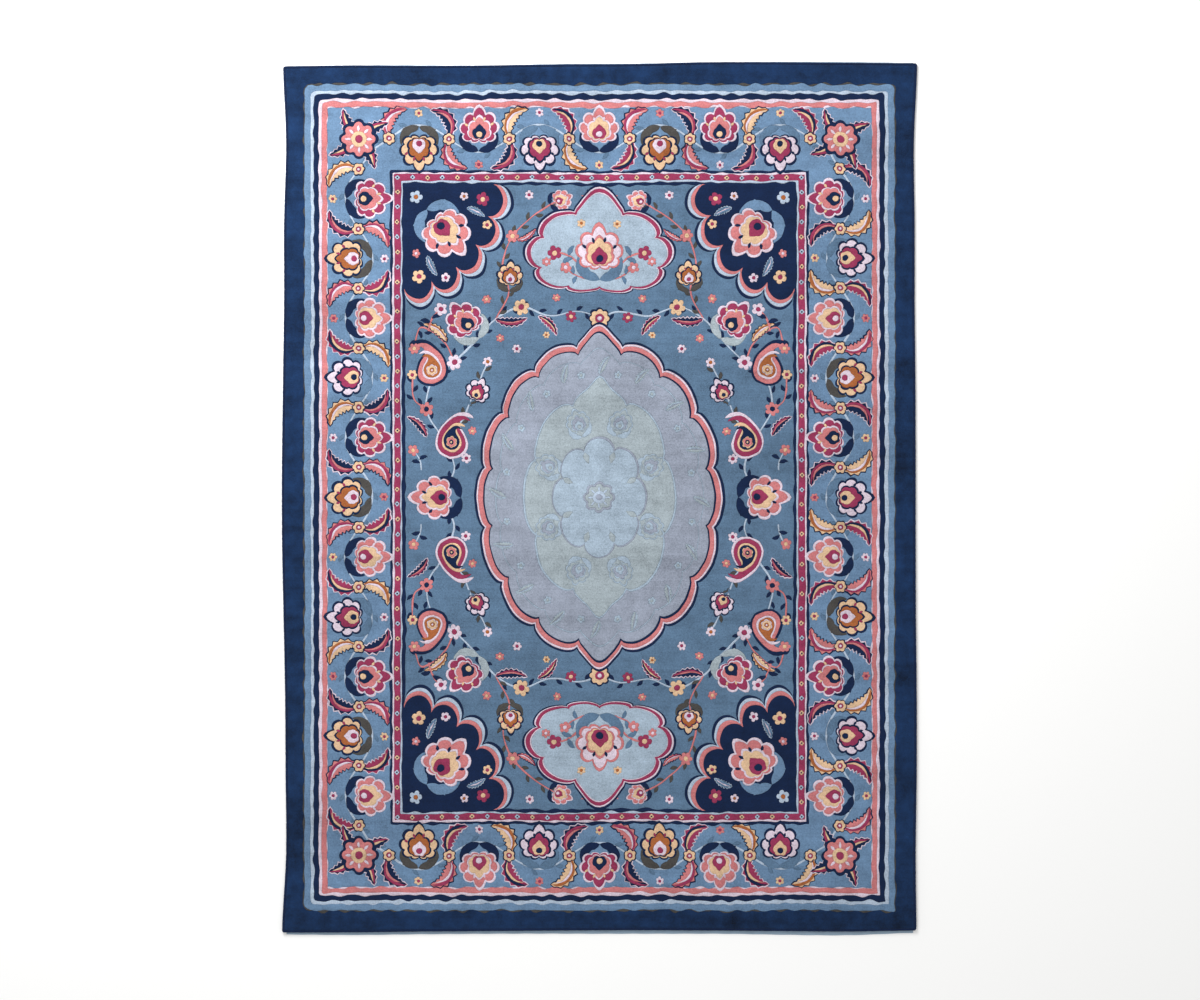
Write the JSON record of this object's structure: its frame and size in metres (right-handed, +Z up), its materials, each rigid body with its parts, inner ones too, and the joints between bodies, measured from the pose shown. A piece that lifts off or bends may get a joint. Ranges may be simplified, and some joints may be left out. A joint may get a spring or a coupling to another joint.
{
  "type": "persian rug",
  "caption": "Flat rectangular wool pile rug with slightly wavy hand-cut edges and a narrow flat woven band along each short end.",
  "frame": {"origin": "on the floor under the middle of the whole rug", "axes": "+X across the rug, +Y along it from the front end to the back end, +Z up out of the pile"},
  "size_m": [2.4546, 3.3788, 0.012],
  "materials": {
    "wool_pile": "dense cut wool pile, matte, on a woven foundation",
    "end_band": "flat woven cotton, matte"
  },
  "bodies": {
    "root": {"pile_cloth": "wool_pile", "front_end_band": "end_band", "back_end_band": "end_band"}
  },
  "joints": []
}
